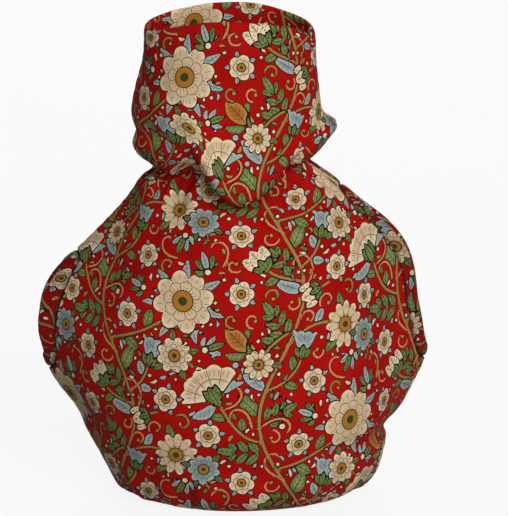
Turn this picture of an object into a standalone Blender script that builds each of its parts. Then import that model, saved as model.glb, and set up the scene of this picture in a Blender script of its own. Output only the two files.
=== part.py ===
"""Fitted, wadded tea cosy with a slouching collar, open at the mouth, the hem, the spout and the handle.

Metres, +Z up. The origin is on the surface that the hem rests on, under the middle of the cosy. The spout
comes out at -X and the handle at +X; the front faces -Y. The cloth is described by sections: each row of
SECTIONS is one turn of the cloth round the pot, and the surface runs smoothly from the hem to the mouth.
"""

import math
from collections import namedtuple

import bpy
import numpy as np

MM = 0.001
TAU = 2 * math.pi

# Seams and cloth, in millimetres.
SEAM_GAP = 0.34
WADDED_THICKNESS = 5.0
COLLAR_THICKNESS = 2.6
SEAM_NOSE = 4.0  # how softly the front and back meet over the spout and the handle
CENTRE_X = 1.5  # brings the middle of the cosy's box over the origin

# Grid of one panel: how many cells lie across it, and how many rows each stretch of it has.
CELLS_ACROSS = 40
ROWS_BELOW_OPENING = 10
ROWS_BESIDE_OPENING = 16
ROWS_TO_NECK = 5
ROWS_OF_ROLL = 11
ROWS_OF_COLLAR = 6

# One row for each section of the outer face, in millimetres: its height, how far it reaches from the
# middle to each side, how much of its depth is a straight flank instead of round, and how it tilts. lean
# lifts the handle side, saddle lifts the front and back against the sides, and sag and droop let the
# cloth hang lower at the front and at the back.
Section = namedtuple("Section", "name z left right front back flank lean saddle sag droop")
SECTIONS = [
    Section("hem edge", 0.0, 42.0, 50.0, 46.0, 46.0, 0.00, 0.0, 0.0, 0.0, 0.0),
    Section("hem foot", 0.0, 53.0, 60.0, 57.0, 57.0, 0.00, 0.0, 0.0, 0.0, 0.0),
    Section("heel", 4.0, 61.5, 67.5, 65.0, 65.0, 0.00, 0.0, 0.0, 0.0, 0.0),
    Section("tuck under", 13.0, 68.5, 75.0, 72.0, 72.0, 0.00, 0.0, 0.0, 0.0, 0.0),
    Section("low side", 26.0, 75.5, 78.5, 75.5, 75.5, 0.00, 0.0, 0.0, 0.0, 0.0),
    Section("side fold", 33.0, 79.0, 78.0, 77.5, 77.5, 0.08, 0.0, 0.0, 0.0, 0.0),
    Section("over fold", 43.0, 84.0, 86.0, 79.5, 79.5, 0.33, 0.0, 0.0, 0.0, 0.0),
    Section("low belly", 57.0, 94.5, 93.5, 81.0, 81.0, 0.48, 0.0, 0.0, 0.0, 0.0),
    Section("belly", 71.0, 101.5, 99.3, 81.5, 81.5, 0.56, 0.0, 0.0, 0.0, 0.0),
    Section("widest", 86.0, 106.0, 100.0, 81.0, 81.0, 0.58, 0.0, 0.0, 0.0, 0.0),
    Section("high belly", 101.0, 104.0, 98.0, 79.0, 79.0, 0.58, 0.0, 0.0, 0.0, 0.0),
    Section("low shoulder", 115.0, 95.5, 96.5, 75.5, 75.5, 0.57, 0.0, 0.0, 0.0, 0.0),
    Section("shoulder", 128.0, 81.0, 92.0, 70.0, 70.0, 0.55, 0.0, 0.0, 0.0, 0.0),
    Section("high shoulder", 140.0, 69.0, 82.0, 62.5, 62.5, 0.51, 0.0, 0.0, 0.0, 0.0),
    Section("slope", 152.0, 58.0, 66.0, 53.0, 53.0, 0.43, 0.0, 0.0, 0.0, 0.0),
    Section("under neck", 162.5, 50.0, 52.0, 42.5, 43.0, 0.30, 0.0, 0.0, 1.5, 1.0),
    Section("neck", 170.5, 42.5, 38.0, 36.5, 37.0, 0.10, 2.0, 0.0, 1.0, 0.0),
    Section("roll under", 174.5, 44.5, 39.5, 44.5, 41.0, 0.05, 1.5, 0.0, 7.0, 2.5),
    Section("roll low", 178.5, 50.0, 43.5, 52.5, 46.0, 0.00, 2.0, 0.0, 19.0, 7.5),
    Section("roll", 185.5, 53.5, 49.5, 58.0, 51.5, 0.00, 3.0, 0.0, 22.0, 10.0),
    Section("roll top", 192.0, 51.5, 51.5, 57.0, 50.5, 0.00, 1.5, 0.0, 19.5, 9.0),
    Section("collar foot", 199.0, 54.0, 45.0, 51.5, 46.5, 0.00, 0.0, 0.0, 12.0, 5.5),
    Section("collar", 213.0, 52.0, 43.0, 44.0, 41.0, 0.00, 0.0, 1.0, 4.0, 2.0),
    Section("high collar", 231.0, 48.0, 41.5, 37.5, 36.5, 0.00, 0.0, 3.0, 1.0, 0.5),
    Section("mouth", 247.0, 47.3, 41.3, 31.8, 32.3, 0.00, -0.8, 3.6, 0.0, 0.0),
]
SAG_AT, SAG_HALF_WIDTH = 272.0, 27.0
DROOP_AT, DROOP_HALF_WIDTH = 82.0, 40.0
COLUMNS = Section._fields[1:]

# The openings, in millimetres: the heights on the side seam where the hole starts and ends, half its
# width, how wide its binding is, how much thicker than the cloth, and how far its lip flares out.
Opening = namedtuple("Opening", "name side low high half_width band swell flare")
OPENINGS = [
    Opening("spout", -1, 71.0, 119.0, 10.0, 8.5, 0.4, 4.0),
    Opening("handle", 1, 77.0, 155.0, 7.5, 8.5, 0.4, 1.0),
]
OVAL_POWER = 2.4
BINDING_SIDES = 12

# Soft folds: where each crosses the cloth as an angle round from the handle side in degrees and a height
# in millimetres, how far it runs up and down, its half width in degrees, how it slants in degrees for
# each millimetre up, and its height, which is negative for a trough.
Fold = namedtuple("Fold", "name angle z run half_width slant height")
FOLDS = [
    Fold("front slouch", 268.0, 186.0, 14.0, 24.0, -0.6, 1.2),
    Fold("left drape", 214.0, 184.0, 14.0, 13.0, -1.4, 2.0),
    Fold("left hollow", 238.0, 172.0, 12.0, 9.0, -1.6, -2.4),
    Fold("right crease", 316.0, 183.0, 12.0, 6.0, 1.7, -3.2),
    Fold("right drape", 296.0, 186.0, 14.0, 9.0, 1.2, 1.6),
    Fold("right pleat", 346.0, 194.0, 8.0, 22.0, 0.0, 1.2),
    Fold("back drape", 62.0, 188.0, 16.0, 13.0, -0.8, 2.4),
    Fold("back hollow", 92.0, 192.0, 12.0, 12.0, 0.4, -1.8),
    Fold("back left drape", 122.0, 187.0, 16.0, 12.0, 0.9, 2.2),
    Fold("collar dent left", 205.0, 214.0, 20.0, 16.0, 0.3, -1.4),
    Fold("collar dent back", 96.0, 222.0, 22.0, 22.0, 0.0, -1.5),
    Fold("front left gather", 232.0, 157.0, 14.0, 8.0, -0.5, -1.6),
    Fold("front right gather", 306.0, 158.0, 15.0, 8.0, 0.5, -1.6),
    Fold("back right gather", 48.0, 157.0, 16.0, 8.0, -0.5, -1.8),
    Fold("back mid gather", 84.0, 158.0, 18.0, 8.0, 0.2, -1.6),
    Fold("back left gather", 128.0, 157.0, 15.0, 8.0, 0.5, -1.8),
    Fold("spout side sweep", 214.0, 118.0, 34.0, 14.0, 0.4, -1.6),
    Fold("handle side sweep", 327.0, 112.0, 36.0, 13.0, -0.4, -1.4),
    Fold("handle side tuck", 345.0, 33.0, 5.0, 24.0, 0.0, -2.4),
    Fold("spout side slack", 203.0, 38.0, 9.0, 20.0, 0.0, -1.5),
]

# Gathers that the elastic draws in: the row they are deepest at, how far they run, how many go round,
# and how deep they are.
Gather = namedtuple("Gather", "name z run count height")
GATHERS = [
    Gather("neck gathers", 166.0, 8.0, 15, 1.1),
    Gather("hem gathers", 9.0, 9.0, 17, 0.9),
]


def table():
    """The sections as an array, a row for each and a column for each of COLUMNS."""
    return np.array([[getattr(row, name) for name in COLUMNS] for row in SECTIONS], float)


def section_at(place):
    """The columns at any place between rows: a Catmull-Rom curve through the rows, by row number."""
    rows = table()
    last = len(rows) - 1
    place = np.clip(np.asarray(place, float), 0, last - 1e-9)
    low = np.floor(place).astype(int)
    share = (place - low)[..., None]
    before, after = np.maximum(low - 1, 0), np.minimum(low + 2, last)
    p0, p1, p2, p3 = rows[before], rows[low], rows[low + 1], rows[after]
    start, end = (p2 - p0) / 2, (p3 - p1) / 2
    value = (
        (2 * share**3 - 3 * share**2 + 1) * p1
        + (share**3 - 2 * share**2 + share) * start
        + (3 * share**2 - 2 * share**3) * p2
        + (share**3 - share**2) * end
    )
    return dict(zip(COLUMNS, np.moveaxis(value, -1, 0)))


def bell(angle, middle, half_width):
    """1 at an angle round the cloth, falling away to nothing on both sides of it; all but angle in degrees."""
    off = (angle - np.radians(middle) + math.pi) % TAU - math.pi
    return np.exp(-((off / np.radians(half_width)) ** 2))


def plain_point(place, angle):
    """The outer face without folds: a round pot's ellipse, with straight flanks out to the side seams.

    A flank leaves the ellipse along its tangent and meets its neighbour at the apex, over the seam.
    """
    row = section_at(place)
    across, along = np.cos(angle), np.sin(angle)
    reach = np.where(across >= 0, row["right"], row["left"])
    depth = np.where(along >= 0, row["back"], row["front"])
    lift = np.clip(row["flank"], 0, 1)
    apex = reach / (1 - lift * SEAM_NOSE / depth)
    y = depth * along
    soft = SEAM_NOSE * np.clip(1 - (along / np.maximum(lift, 1e-6)) ** 2, 0, 1)
    flank = apex - apex * lift / depth * np.sqrt(y**2 + soft**2)
    x = np.where(np.abs(along) < lift, flank, apex * np.sqrt(1 - lift**2) * np.abs(across))
    tilt = row["lean"] * across - row["saddle"] * np.cos(2 * angle)
    tilt = tilt - row["sag"] * bell(angle, SAG_AT, SAG_HALF_WIDTH)
    tilt = tilt - row["droop"] * bell(angle, DROOP_AT, DROOP_HALF_WIDTH)
    x = x * np.where(across >= 0, 1, -1) + CENTRE_X
    return np.stack([x, y, np.maximum(row["z"] + tilt, 0)], -1)


def normal_of(point_at, place, angle):
    """The unit normal that points away from the pot, from small steps along the surface."""
    step = 1e-3
    up = point_at(place + step, angle) - point_at(place - step, angle)
    turn = point_at(place, angle + step) - point_at(place, angle - step)
    normal = np.cross(turn, up)
    return normal / np.maximum(np.linalg.norm(normal, axis=-1, keepdims=True), 1e-12)


def row_heights():
    """Row number and height of the plain side of the cloth, from the floor up, to find a row by height."""
    places = np.linspace(1, len(SECTIONS) - 1, 800)
    return places, np.maximum.accumulate(section_at(places)["z"])


def place_of(z):
    places, heights = row_heights()
    return np.interp(z, heights, places)


def fold_height(place, angle):
    """How far folds and gathers lift the cloth: soft bumps, each a bell across and along its run."""
    z = section_at(place)["z"]
    total = np.zeros(np.broadcast(place, angle).shape)
    for fold in FOLDS:
        across = bell(angle, fold.angle + fold.slant * (z - fold.z), fold.half_width)
        total = total + fold.height * across * np.exp(-(((z - fold.z) / fold.run) ** 2))
    for gather in GATHERS:
        waves = np.sin(gather.count * angle + 0.9 * np.sin(3 * angle))
        window = np.exp(-(((z - gather.z) / gather.run) ** 2))
        total = total + gather.height * waves * window
    seam = 1 - np.exp(-((np.sin(angle) / 0.10) ** 2)) * 0.75
    floor = np.clip(z / 4.0, 0, 1)
    return total * seam * floor


def thickness(place):
    """Wadded below the neck, thinner above it."""
    neck = place_of(170.5)
    share = np.clip((place - neck + 1.5) / 2.0, 0, 1)
    return WADDED_THICKNESS + (COLLAR_THICKNESS - WADDED_THICKNESS) * share


def cloth_point(place, angle, depth):
    """A point in the cloth at a depth below its outer face, with its folds.

    The wadding takes up half of each fold, so the inner face is the calmer one.
    """
    fold = fold_height(place, angle) * (1 - 0.5 * depth / thickness(place))
    move = (fold - depth)[..., None]
    point = plain_point(place, angle) + move * normal_of(plain_point, place, angle)
    point[..., 2] = np.maximum(point[..., 2], 0)
    return point


def loop_point(opening, turn, offset):
    """(row number, y) on a loop round an opening: the hole's long oval moved outwards by offset.

    turn is 0 at the upper end and half a turn at the lower end, on the front.
    """
    scale = seam_scale(opening)
    half = (place_of(opening.high) - place_of(opening.low)) / 2 * scale
    middle = (place_of(opening.high) + place_of(opening.low)) / 2
    up, out = np.cos(turn), np.sin(turn)
    full = 2 / OVAL_POWER
    way = np.stack([np.sign(up) * np.abs(up) ** (2 - full) / half,
                    np.sign(out) * np.abs(out) ** (2 - full) / opening.half_width], -1)
    way = way / np.linalg.norm(way, axis=-1, keepdims=True)
    along = half * np.sign(up) * np.abs(up) ** full + offset * way[..., 0]
    across = opening.half_width * np.sign(out) * np.abs(out) ** full + offset * way[..., 1]
    return middle + along / scale, across


def seam_scale(opening):
    """Millimetres of side seam for each row of the table, beside an opening."""
    low, high = place_of(opening.low), place_of(opening.high)
    places = np.linspace(low, high, 60)
    seam = plain_point(places, np.full(60, 0.0 if opening.side > 0 else math.pi))
    return np.linalg.norm(np.diff(seam, axis=0), axis=1).sum() / (high - low)


def edge_of(opening):
    """One side edge of a panel: row numbers from hem to mouth, and how far the edge is from the seam."""
    turns = np.linspace(math.pi, 0, ROWS_BESIDE_OPENING + 1)
    beside, offset = loop_point(opening, turns, opening.band + SEAM_GAP)
    neck = place_of(168.0)
    below = np.linspace(0, beside[0], ROWS_BELOW_OPENING + 1)[:-1]
    above = np.linspace(beside[-1], neck, ROWS_TO_NECK + 1)[1:-1]
    foot = place_of(199.0)
    roll = np.linspace(neck, foot, ROWS_OF_ROLL + 1)[:-1]
    collar = np.linspace(foot, len(SECTIONS) - 1, ROWS_OF_COLLAR + 1)
    places = np.concatenate([below, beside, above, roll, collar])
    offsets = np.full(len(places), SEAM_GAP / 2)
    offsets[len(below) : len(below) + len(beside)] = np.maximum(offset, SEAM_GAP / 2)
    return places, offsets


def angle_at(place, y, side, front):
    """The angle round the cloth at a distance y from the seam on that side."""
    row = section_at(place)
    turn = np.arcsin(np.clip(y / row["front" if front else "back"], 0, 1))
    if side > 0:
        return TAU - turn if front else turn
    return math.pi + turn if front else math.pi - turn


def panel_grid(front):
    """(row numbers, angles) of a panel's grid, from its spout edge to its handle edge if it is the front."""
    spout_places, spout_offsets = edge_of(OPENINGS[0])
    handle_places, handle_offsets = edge_of(OPENINGS[1])
    spout = angle_at(spout_places, spout_offsets, -1, front)
    handle = angle_at(handle_places, handle_offsets, 1, front)
    share = np.linspace(0, 1, CELLS_ACROSS + 1)
    eased = share * share * (3 - 2 * share)
    ends = (spout_places, handle_places, spout, handle)
    if not front:
        ends = (handle_places, spout_places, handle, spout)
    places = ends[0][:, None] + (ends[1] - ends[0])[:, None] * eased
    angles = ends[2][:, None] + (ends[3] - ends[2])[:, None] * share
    return places, angles


def shell(name, outer, inner, material):
    """One closed object from two grids of points that face each other, joined round their rim."""
    rows, columns = outer.shape[:2]
    index = np.arange(rows * columns).reshape(rows, columns)
    back = index + rows * columns

    def cells(grid):
        corners = (grid[:-1, :-1], grid[:-1, 1:], grid[1:, 1:], grid[1:, :-1])
        return np.stack([c.ravel() for c in corners], -1)

    rim = np.concatenate([index[0, :-1], index[:-1, -1], index[-1, :0:-1], index[:0:-1, 0]])
    after = np.roll(rim, -1)
    wall = np.stack([after, rim, rim + rows * columns, after + rows * columns], -1)
    faces = np.concatenate([cells(index), cells(back)[:, ::-1], wall])
    points = np.concatenate([outer.reshape(-1, 3), inner.reshape(-1, 3)]) * MM
    mesh = bpy.data.meshes.new(name)
    mesh.from_pydata(points.tolist(), [], faces.tolist())
    mesh.shade_smooth()
    mesh.set_sharp_from_angle(angle=math.radians(50))
    mesh.materials.append(material)
    made = bpy.data.objects.new(name, mesh)
    bpy.context.scene.collection.objects.link(made)
    return made


def panel(name, front, material):
    """A wadded panel, collar and body in one, cut away round half of each opening."""
    places, angles = panel_grid(front)
    outer = cloth_point(places, angles, np.zeros(places.shape))
    inner = cloth_point(places, angles, thickness(places))
    half_gap = SEAM_GAP / 2
    side = -1 if front else 1
    inner[..., 1] = side * np.maximum(side * inner[..., 1], half_gap)
    outer[..., 1] = side * np.maximum(side * outer[..., 1], half_gap)
    return shell(name, outer, inner, material)


def rounded(value, power):
    """value, -1 to 1, pushed out towards its ends so that an oval of it fills its box better."""
    return np.sign(value) * np.abs(value) ** power


def binding(opening, material):
    """The padded band round an opening: a flat oval section carried round the loop on the cloth's surface."""
    turns = np.linspace(0, TAU, 2 * ROWS_BESIDE_OPENING, endpoint=False)
    sides = np.linspace(0, TAU, BINDING_SIDES, endpoint=False)
    turn, side = np.meshgrid(turns, sides, indexing="ij")
    share = (1 + rounded(np.cos(side), 0.8)) / 2
    place, across = loop_point(opening, turn, opening.band * share)
    row = section_at(place)
    front_or_back = np.where(across >= 0, row["front"], row["back"])
    angle = np.arcsin(across / front_or_back)
    angle = TAU - angle if opening.side > 0 else math.pi + angle
    thick = thickness(place)
    depth = thick / 2 - (thick + opening.swell) / 2 * rounded(np.sin(side), 0.6)
    depth = depth - opening.flare * (1 - share) ** 1.5 * np.sin(turn) ** 2
    points = cloth_point(place, angle, depth)
    index = np.arange(points.shape[0] * points.shape[1]).reshape(points.shape[:2])
    ahead, beside = np.roll(index, -1, axis=0), np.roll(index, -opening.side, axis=1)
    corners = (index, ahead, np.roll(beside, -1, axis=0), beside)
    faces = np.stack([c.ravel() for c in corners], -1)
    mesh = bpy.data.meshes.new(f"{opening.name}_binding")
    mesh.from_pydata((points.reshape(-1, 3) * MM).tolist(), [], faces.tolist())
    mesh.shade_smooth()
    mesh.materials.append(material)
    made = bpy.data.objects.new(mesh.name, mesh)
    bpy.context.scene.collection.objects.link(made)
    return made


def cloth_material(name, colour):
    made = bpy.data.materials.new(name)
    made.use_nodes = True
    shader = made.node_tree.nodes["Principled BSDF"]
    shader.inputs["Base Color"].default_value = (*colour, 1)
    shader.inputs["Roughness"].default_value = 0.85
    shader.inputs["Metallic"].default_value = 0.0
    return made


def main():
    for old in list(bpy.data.objects):
        bpy.data.objects.remove(old)
    printed = cloth_material("printed_cotton", (0.52, 0.02, 0.02))
    bound = cloth_material("binding_cotton", (0.42, 0.03, 0.02))
    panel("front_panel", True, printed)
    panel("back_panel", False, printed)
    for opening in OPENINGS:
        binding(opening, bound)


main()
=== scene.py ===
"""A wadded tea cosy in printed cotton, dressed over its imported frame.

Two printed cloths and their two linings stand for the wadded panels, and two padded bands for the
bindings of the spout's and the handle's openings. The tables and lengths here are in millimetres, and
the meshes in metres, +Z up, with the front of the cosy at -Y, the spout at -X and the handle at +X.
A place on the cloth is a row number in the table of sections and an angle round from the handle side.
"""

import math
from collections import namedtuple

import bpy
import numpy as np
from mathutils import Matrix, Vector


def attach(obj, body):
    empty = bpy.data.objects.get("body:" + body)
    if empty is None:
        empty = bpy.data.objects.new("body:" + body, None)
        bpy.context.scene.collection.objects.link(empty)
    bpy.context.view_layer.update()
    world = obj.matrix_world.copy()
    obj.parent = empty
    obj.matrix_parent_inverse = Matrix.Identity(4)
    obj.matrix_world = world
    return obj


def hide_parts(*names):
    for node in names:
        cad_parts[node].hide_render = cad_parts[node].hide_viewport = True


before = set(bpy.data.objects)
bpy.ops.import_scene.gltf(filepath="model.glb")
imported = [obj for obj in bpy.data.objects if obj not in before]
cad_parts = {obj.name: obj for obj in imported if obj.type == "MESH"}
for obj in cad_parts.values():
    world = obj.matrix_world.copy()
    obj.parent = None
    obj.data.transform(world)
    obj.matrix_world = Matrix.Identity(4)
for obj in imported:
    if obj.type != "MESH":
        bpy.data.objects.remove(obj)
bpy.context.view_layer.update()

MM = 0.001
TAU = 2 * math.pi
FRONT = 1.5 * math.pi  # the angle of the middle of the front
STEP = 1e-3  # a small step along the cloth, in rows or in angle

WADDED_THICKNESS, COLLAR_THICKNESS = 5.0, 2.6
SEAM_NOSE = 4.0  # how softly the front and back meet over the spout and the handle
CENTRE_X = 1.5  # brings the middle of the cosy's box over the origin

# One row for each section of the outer face: its height, how far it reaches from the middle to each side,
# how much of its depth is a straight flank instead of round, and how it tilts. lean lifts the handle side,
# saddle lifts the front and back against the sides, and sag and droop let the cloth hang lower at the
# front and at the back.
Section = namedtuple(
    "Section", "name z left right front back flank lean saddle sag droop", defaults=[0.0] * 4)
SECTIONS = [Section(*row) for row in (
    ("hem edge", 0.0, 42.0, 50.0, 46.0, 46.0, 0.00),
    ("hem foot", 0.0, 53.0, 60.0, 57.0, 57.0, 0.00),
    ("heel", 4.0, 61.5, 67.5, 65.0, 65.0, 0.00),
    ("tuck under", 13.0, 68.5, 75.0, 72.0, 72.0, 0.00),
    ("low side", 26.0, 75.5, 78.5, 75.5, 75.5, 0.00),
    ("side fold", 33.0, 79.0, 78.0, 77.5, 77.5, 0.08),
    ("over fold", 43.0, 84.0, 86.0, 79.5, 79.5, 0.33),
    ("low belly", 57.0, 94.5, 93.5, 81.0, 81.0, 0.48),
    ("belly", 71.0, 101.5, 99.3, 81.5, 81.5, 0.56),
    ("widest", 86.0, 106.0, 100.0, 81.0, 81.0, 0.58),
    ("high belly", 101.0, 104.0, 98.0, 79.0, 79.0, 0.58),
    ("low shoulder", 115.0, 95.5, 96.5, 75.5, 75.5, 0.57),
    ("shoulder", 128.0, 81.0, 92.0, 70.0, 70.0, 0.55),
    ("high shoulder", 140.0, 69.0, 82.0, 62.5, 62.5, 0.51),
    ("slope", 152.0, 58.0, 66.0, 53.0, 53.0, 0.43),
    ("under neck", 162.5, 50.0, 52.0, 42.5, 43.0, 0.30, 0.0, 0.0, 1.5, 1.0),
    ("neck", 170.5, 42.5, 38.0, 36.5, 37.0, 0.10, 2.0, 0.0, 1.0, 0.0),
    ("roll under", 174.5, 44.5, 39.5, 44.5, 41.0, 0.05, 1.5, 0.0, 7.0, 2.5),
    ("roll low", 178.5, 50.0, 43.5, 52.5, 46.0, 0.00, 2.0, 0.0, 19.0, 7.5),
    ("roll", 185.5, 53.5, 49.5, 58.0, 51.5, 0.00, 3.0, 0.0, 22.0, 10.0),
    ("roll top", 192.0, 51.5, 51.5, 57.0, 50.5, 0.00, 1.5, 0.0, 19.5, 9.0),
    ("collar foot", 199.0, 54.0, 45.0, 51.5, 46.5, 0.00, 0.0, 0.0, 12.0, 5.5),
    ("collar", 213.0, 52.0, 43.0, 44.0, 41.0, 0.00, 0.0, 1.0, 4.0, 2.0),
    ("high collar", 231.0, 48.0, 41.5, 37.5, 36.5, 0.00, 0.0, 3.0, 1.0, 0.5),
    ("mouth", 247.0, 47.3, 41.3, 31.8, 32.3, 0.00, -0.8, 3.6, 0.0, 0.0),
)]
COLUMNS = Section._fields[1:]
TABLE = np.array([section[1:] for section in SECTIONS])
LAST_ROW = len(SECTIONS) - 1
# Where the cloth hangs lower, and where the lip is drawn up beside its lowest point: the column it goes by,
# what share of that it rises by, and its angle and half width in degrees.
HANGS = [("sag", -1.0, 272.0, 27.0), ("droop", -1.0, 82.0, 40.0), ("sag", 0.6, 246.0, 12.5)]
WIDEST_Z, NECK_Z, COLLAR_FOOT_Z, MOUTH_Z = 86.0, 168.0, 199.0, 247.0
# The cloth thins over some rows of the table, which start some rows below this height.
THINNING_Z, THINNING_BELOW, THINNING_ROWS = 170.5, 1.5, 2.0

# The openings: the heights on the side seam where the hole starts and ends, half its width, how wide its
# binding is, how much thicker than the cloth, and how far its lip flares out.
Opening = namedtuple("Opening", "name side low high half_width band swell flare")
OPENINGS = [
    Opening("spout", -1, 71.0, 119.0, 10.0, 8.5, 0.4, 4.0),
    Opening("handle", 1, 77.0, 155.0, 7.5, 8.5, 0.4, 1.0),
]
OVAL_POWER = 2.4

# Soft folds: where each crosses the cloth as an angle round from the handle side in degrees and a height,
# how far it runs up and down, its half width in degrees, how it slants in degrees for each millimetre up,
# and its height, which is negative for a trough.
Fold = namedtuple("Fold", "name angle z run half_width slant height")
FOLDS = [Fold(*row) for row in (
    ("front slouch", 268.0, 186.0, 14.0, 24.0, -0.6, 1.2),
    ("left drape", 214.0, 184.0, 14.0, 13.0, -1.4, 2.0),
    ("left hollow", 238.0, 172.0, 12.0, 9.0, -1.6, -2.4),
    ("right crease", 316.0, 183.0, 12.0, 6.0, 1.7, -3.2),
    ("right drape", 296.0, 186.0, 14.0, 9.0, 1.2, 1.6),
    ("right pleat", 346.0, 194.0, 8.0, 22.0, 0.0, 1.2),
    ("back drape", 62.0, 188.0, 16.0, 13.0, -0.8, 2.4),
    ("back hollow", 92.0, 192.0, 12.0, 12.0, 0.4, -1.8),
    ("back left drape", 122.0, 187.0, 16.0, 12.0, 0.9, 2.2),
    ("collar dent left", 205.0, 214.0, 20.0, 16.0, 0.3, -1.4),
    ("collar dent back", 96.0, 222.0, 22.0, 22.0, 0.0, -1.5),
    ("front left gather", 232.0, 157.0, 14.0, 8.0, -0.5, -1.6),
    ("front right gather", 306.0, 158.0, 15.0, 8.0, 0.5, -1.6),
    ("back right gather", 48.0, 157.0, 16.0, 8.0, -0.5, -1.8),
    ("back mid gather", 84.0, 158.0, 18.0, 8.0, 0.2, -1.6),
    ("back left gather", 128.0, 157.0, 15.0, 8.0, 0.5, -1.8),
    ("spout side sweep", 214.0, 118.0, 34.0, 14.0, 0.4, -1.6),
    ("handle side sweep", 327.0, 112.0, 36.0, 13.0, -0.4, -1.4),
    ("handle side tuck", 345.0, 33.0, 5.0, 24.0, 0.0, -2.4),
    ("spout side slack", 203.0, 38.0, 9.0, 20.0, 0.0, -1.5),
)]

# What the elastic draws in: the height it is deepest at, how many go round, how much a slower wave crowds
# and spreads them and how often that one goes round, their phase, how deep they are and how far they run.
Gather = namedtuple("Gather", "name z count crowding slow phase height run")
GATHERS = [
    Gather("neck gathers", 166.0, 15, 0.9, 3, 0.0, 1.1, 8.0),
    Gather("hem gathers", 9.0, 17, 0.9, 3, 0.0, 0.9, 9.0),
]
PLEATS = [
    Gather("neck pleats", NECK_Z, 37, 1.4, 5, 0.8, 0.55, 8.0),
    Gather("hem pleats", 7.0, 43, 1.1, 7, 0.0, 0.45, 8.0),
]
# Beside a side seam folds lose this share of their height, over this distance as a sine of the angle, and
# all of them rise from nothing at the floor to their full height here.
CALM_AT_SEAM, CALM_REACH, FOLDS_FULL_Z = 0.75, 0.10, 4.0
INNER_CALM = 0.5  # the wadding takes up this share of a fold, so the inner face is the calmer one


def hill(off, reach):
    """1 where off is 0, falling away to nothing on both sides of it: a bell curve with a reach."""
    return np.exp(-((off / reach) ** 2))


def bell(angle, middle, half_width):
    """A hill round the cloth: its middle and half width are in degrees, the angle in radians."""
    return hill((angle - np.radians(middle) + math.pi) % TAU - math.pi, np.radians(half_width))


def section_at(place):
    """The columns at any place between rows: a Catmull-Rom curve through the rows, by row number."""
    place = np.clip(np.asarray(place, float), 0, LAST_ROW - 1e-9)
    low = np.floor(place).astype(int)
    share = (place - low)[..., None]
    rows = np.clip([low - 1, low, low + 1, low + 2], 0, LAST_ROW)
    p0, p1, p2, p3 = TABLE[rows]
    start, end = (p2 - p0) / 2, (p3 - p1) / 2
    value = (
        (2 * share**3 - 3 * share**2 + 1) * p1
        + (share**3 - 2 * share**2 + share) * start
        + (3 * share**2 - 2 * share**3) * p2
        + (share**3 - share**2) * end
    )
    return dict(zip(COLUMNS, np.moveaxis(value, -1, 0)))


def place_of(z):
    """The row number at a height on the plain side of the cloth, read between finely spaced rows."""
    places = np.linspace(1, LAST_ROW, 800)
    return np.interp(z, np.maximum.accumulate(section_at(places)["z"]), places)


def plain_point(place, angle):
    """The outer face without folds: a round pot's ellipse, with straight flanks out to the side seams.

    A flank leaves the ellipse along its tangent and meets its neighbour at the apex, over the seam.
    """
    row = section_at(place)
    across, along = np.cos(angle), np.sin(angle)
    reach = np.where(across >= 0, row["right"], row["left"])
    depth = np.where(along >= 0, row["back"], row["front"])
    lift = np.clip(row["flank"], 0, 1)
    apex = reach / (1 - lift * SEAM_NOSE / depth)
    y = depth * along
    soft = SEAM_NOSE * np.clip(1 - (along / np.maximum(lift, 1e-6)) ** 2, 0, 1)
    flank = apex - apex * lift / depth * np.sqrt(y**2 + soft**2)
    x = np.where(np.abs(along) < lift, flank, apex * np.sqrt(1 - lift**2) * np.abs(across))
    tilt = row["lean"] * across - row["saddle"] * np.cos(2 * angle)
    for column, share, middle, half_width in HANGS:
        tilt = tilt + share * row[column] * bell(angle, middle, half_width)
    x = x * np.where(across >= 0, 1, -1) + CENTRE_X
    return np.stack([x, y, np.maximum(row["z"] + tilt, 0)], -1)


def unit(vectors):
    return vectors / np.maximum(np.linalg.norm(vectors, axis=-1, keepdims=True), 1e-9)


def plain_ways(place, angle):
    """(up along the cloth, away from the pot) on the plain face: unit vectors, from small steps along it."""
    up = plain_point(place + STEP, angle) - plain_point(place - STEP, angle)
    turn = plain_point(place, angle + STEP) - plain_point(place, angle - STEP)
    return unit(up), unit(np.cross(turn, up))


def drawn_in(total, gathers, z, angle):
    """A height with gathers added: waves round the cloth, within a hill of heights on the cosy."""
    for gather in gathers:
        waves = np.sin(gather.count * angle + gather.crowding * np.sin(gather.slow * angle) + gather.phase)
        total = total + gather.height * waves * hill(z - gather.z, gather.run)
    return total


def fold_height(place, angle):
    """How far folds and gathers lift the cloth: a fold is a hill across it and along its run."""
    z = section_at(place)["z"]
    total = np.zeros(np.broadcast(place, angle).shape)
    for fold in FOLDS:
        across = bell(angle, fold.angle + fold.slant * (z - fold.z), fold.half_width)
        total = total + fold.height * across * hill(z - fold.z, fold.run)
    total = drawn_in(total, GATHERS, z, angle)
    beside_seam = 1 - hill(np.sin(angle), CALM_REACH) * CALM_AT_SEAM
    return total * beside_seam * np.clip(z / FOLDS_FULL_Z, 0, 1)


def thickness(place):
    """Wadded below the neck, thinner above it, with an even slope between."""
    share = np.clip((place - place_of(THINNING_Z) + THINNING_BELOW) / THINNING_ROWS, 0, 1)
    return WADDED_THICKNESS + (COLLAR_THICKNESS - WADDED_THICKNESS) * share


def seam_span(opening):
    """(middle row, half the length, length of a row) of the side seam that an opening takes up."""
    low, high = place_of(opening.low), place_of(opening.high)
    places = np.linspace(low, high, 60)
    seam = plain_point(places, np.full(60, 0.0 if opening.side > 0 else math.pi))
    row_long = np.linalg.norm(np.diff(seam, axis=0), axis=1).sum() / (high - low)
    return (low + high) / 2, (high - low) / 2 * row_long, row_long


def rounded(value, power):
    """value, -1 to 1, to a power, with its sign kept: a power under 1 makes an oval fill its box better."""
    return np.sign(value) * np.abs(value) ** power


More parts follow.
